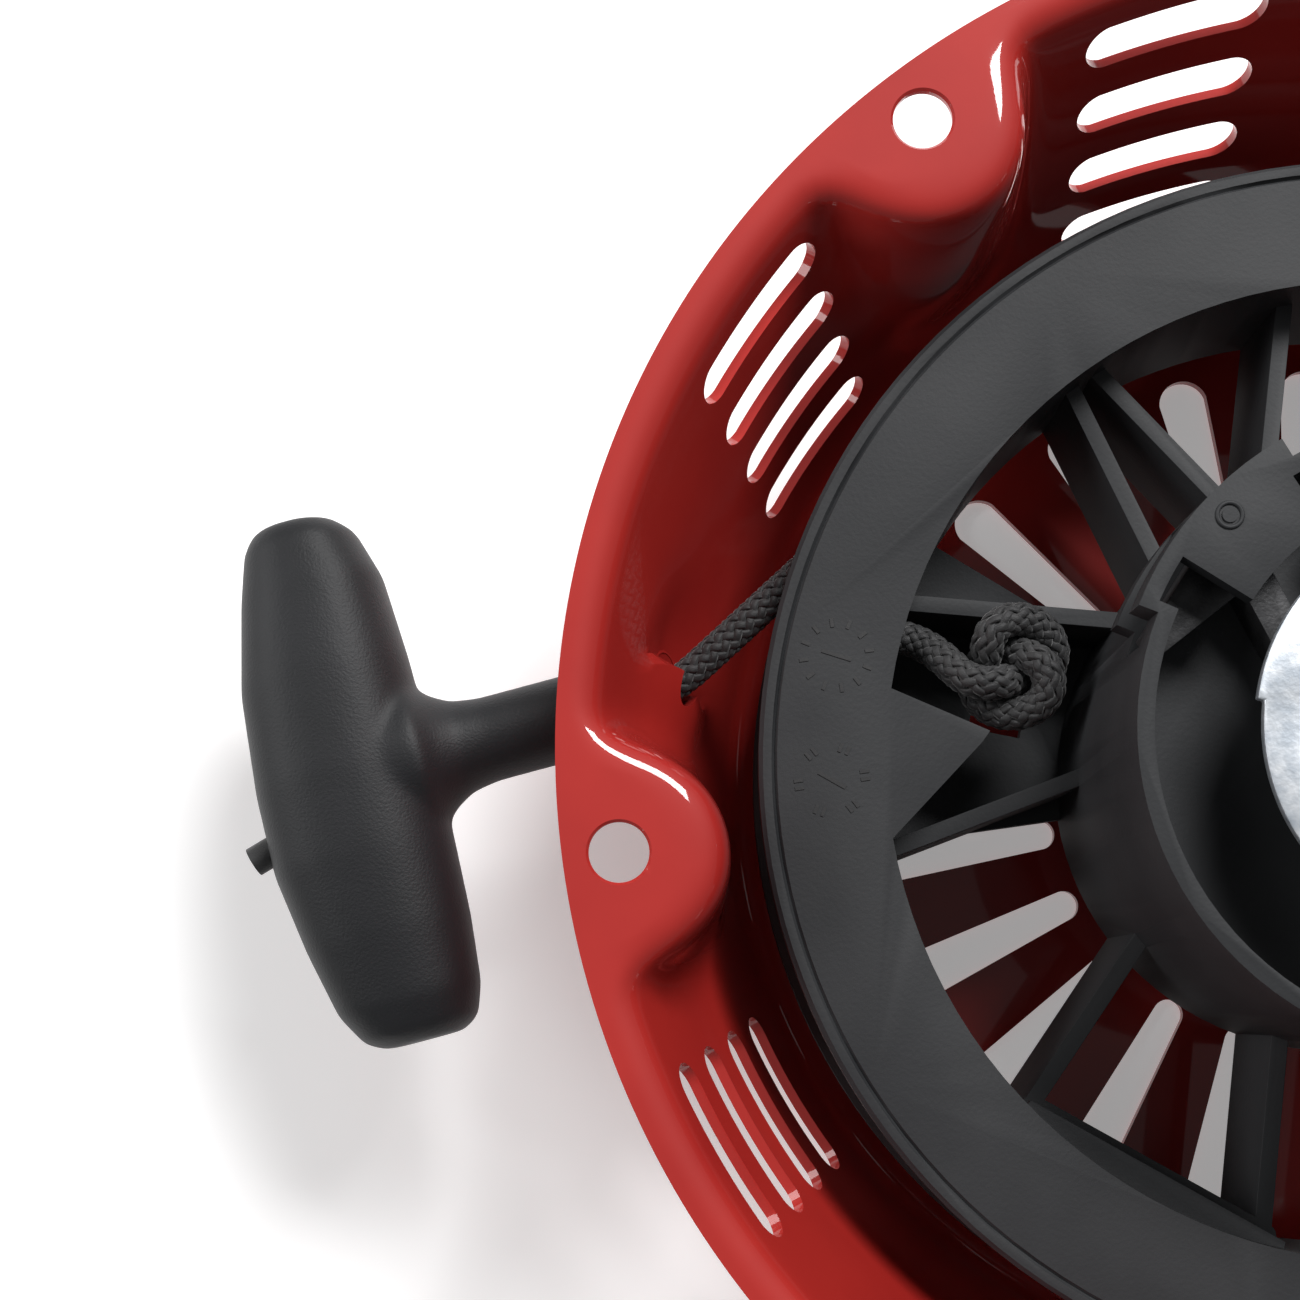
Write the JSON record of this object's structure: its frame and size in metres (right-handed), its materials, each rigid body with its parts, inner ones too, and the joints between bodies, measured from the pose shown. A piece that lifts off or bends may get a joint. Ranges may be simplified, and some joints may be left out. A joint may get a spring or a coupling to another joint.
{
  "type": "recoil starter",
  "caption": "Rope-pull recoil starter: red pressed steel bell with vents, black spoked rope reel with spring-out ratchets, and a T-grip on a braided rope.",
  "frame": {"origin": "centre of the mounting face, on the crank axis", "axes": "+Z along the crank axis towards the engine, -X towards the pull grip"},
  "size_m": [0.2784, 0.23, 0.0827],
  "materials": {
    "red_paint": "gloss",
    "black_nylon": "satin",
    "grip_plastic": "matte",
    "rope_braid": "braided",
    "zinc_steel": "zinc plated",
    "spring_steel": "blued",
    "ratchet_steel": "phosphated",
    "white_nylon": "matte",
    "bronze": "satin"
  },
  "bodies": {
    "case": {"housing": "red_paint", "spindle": "zinc_steel", "thrust_washer": "white_nylon", "recoil_spring": "spring_steel", "rope_lead": "rope_braid", "lock_washer": "zinc_steel", "centre_screw": "zinc_steel"},
    "reel": {"reel": "black_nylon", "spring_cover": "zinc_steel", "rope_winding": "rope_braid", "reel_knot": "rope_braid", "ratchet_spring_1": "spring_steel", "ratchet_spring_2": "spring_steel", "friction_spring": "spring_steel"},
    "guide": {"ratchet_guide": "zinc_steel", "friction_washer": "bronze"},
    "ratchet_1": {"ratchet_1": "ratchet_steel"},
    "ratchet_2": {"ratchet_2": "ratchet_steel"},
    "grip": {"grip": "grip_plastic", "grip_washer": "zinc_steel", "grip_knot": "rope_braid"}
  },
  "joints": [
    {"name": "reel_spin", "type": "hinge", "parent": "case", "child": "reel", "pos_m": [0, 0, -0.02], "axis": [0, 0, 1], "range_deg": [0, 1080], "stiffness_Nm_per_rad": 0.04, "springref_deg": -572.96, "deforming": ["recoil_spring"]},
    {"name": "grip_pull", "type": "slide", "parent": "case", "child": "grip", "axis": [-0.9659, -0.2588, 0], "range_m": [0, 1.4345], "deforming": ["rope_lead"]},
    {"name": "guide_lag", "type": "hinge", "parent": "reel", "child": "guide", "pos_m": [0, 0, 0.01], "axis": [0, 0, 1], "range_deg": [-30, 0], "stiffness_Nm_per_rad": 0.02},
    {"name": "ratchet_1_swing", "type": "hinge", "parent": "reel", "child": "ratchet_1", "pos_m": [-0.02561, 0.02473, 0], "axis": [0, 0, -1], "range_deg": [0, 20], "deforming": ["ratchet_spring_1"]},
    {"name": "ratchet_2_swing", "type": "hinge", "parent": "reel", "child": "ratchet_2", "pos_m": [0.02561, -0.02473, 0], "axis": [0, 0, -1], "range_deg": [0, 20], "deforming": ["ratchet_spring_2"]}
  ],
  "couplings": [
    {"joint": "grip_pull", "follows": "reel_spin", "m_per_rad": 0.076097},
    {"joint": "ratchet_1_swing", "follows": "guide_lag", "ratio": -0.66667},
    {"joint": "ratchet_2_swing", "follows": "guide_lag", "ratio": -0.66667}
  ]
}
